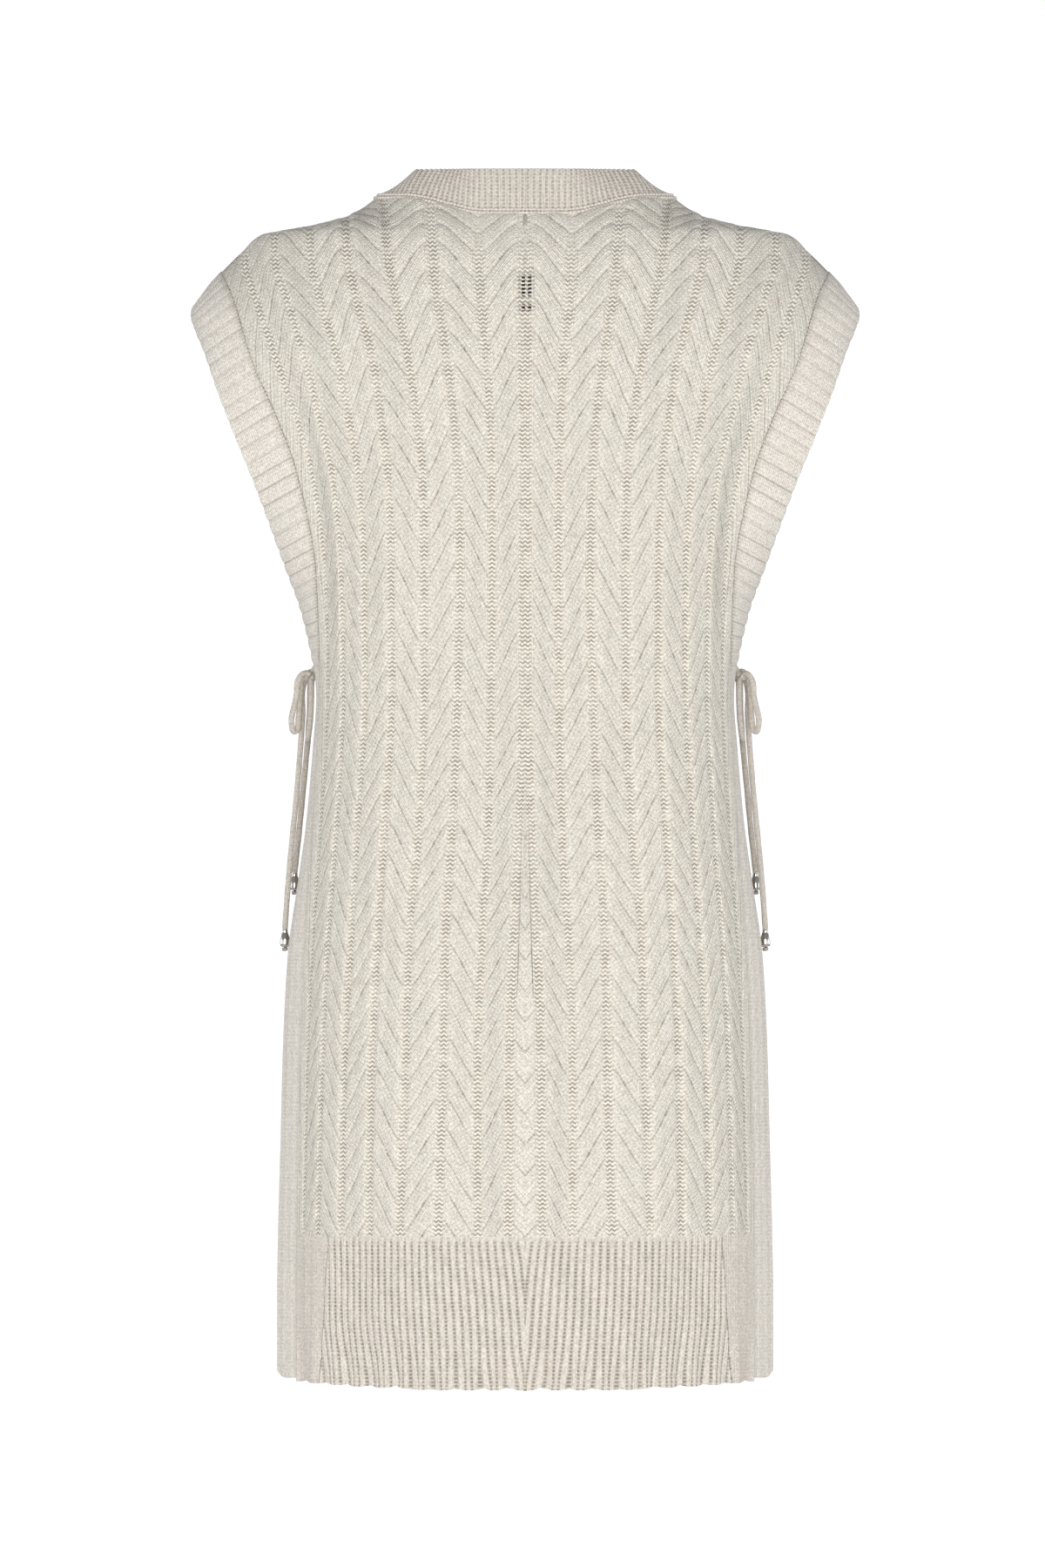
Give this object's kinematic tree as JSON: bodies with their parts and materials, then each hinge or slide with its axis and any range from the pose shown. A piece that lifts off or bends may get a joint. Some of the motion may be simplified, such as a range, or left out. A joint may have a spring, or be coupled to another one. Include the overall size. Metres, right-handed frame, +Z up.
{
  "type": "sleeveless v-neck sweater",
  "caption": "Sleeveless cable-knit tunic in its worn form, with a V neck, ribbed bands, open sides and side ties.",
  "frame": {"origin": "between the points where the shoulders meet the neck, at the height where the garment lies on the wearer's shoulders, and midway between the front and back of the shoulder line", "axes": "+Z up the wearer, +X to the wearer's left, -Y out of the wearer's chest; the V neck faces -Y and the plain back faces +Y"},
  "size_m": [0.4456, 0.2337, 0.8117],
  "materials": {
    "cable_knit_wool": "soft matt cable knit in off-white wool blend",
    "rib_knit_wool": "matt rib knit of the same yarn",
    "knitted_cord": "matt round knitted cord of the same yarn",
    "polished_nickel": "polished nickel"
  },
  "bodies": {
    "root": {"back_panel": "cable_knit_wool", "front_panel": "cable_knit_wool", "back_hem_rib": "rib_knit_wool", "front_hem_rib": "rib_knit_wool", "neckband": "rib_knit_wool", "side_band_left": "rib_knit_wool", "side_band_right": "rib_knit_wool", "tie_left_knot": "knitted_cord", "tie_left_end_back": "knitted_cord", "tie_left_end_front": "knitted_cord", "tie_left_loop_back": "knitted_cord", "tie_left_loop_front": "knitted_cord", "tie_left_tail_back": "knitted_cord", "tie_left_tail_front": "knitted_cord", "bell_left_back": "polished_nickel", "bell_knot_left_back": "knitted_cord", "bell_left_front": "polished_nickel", "bell_knot_left_front": "knitted_cord", "tie_right_knot": "knitted_cord", "tie_right_end_back": "knitted_cord", "tie_right_end_front": "knitted_cord", "tie_right_loop_back": "knitted_cord", "tie_right_loop_front": "knitted_cord", "tie_right_tail_back": "knitted_cord", "tie_right_tail_front": "knitted_cord", "bell_right_back": "polished_nickel", "bell_knot_right_back": "knitted_cord", "bell_right_front": "polished_nickel", "bell_knot_right_front": "knitted_cord"}
  },
  "joints": []
}
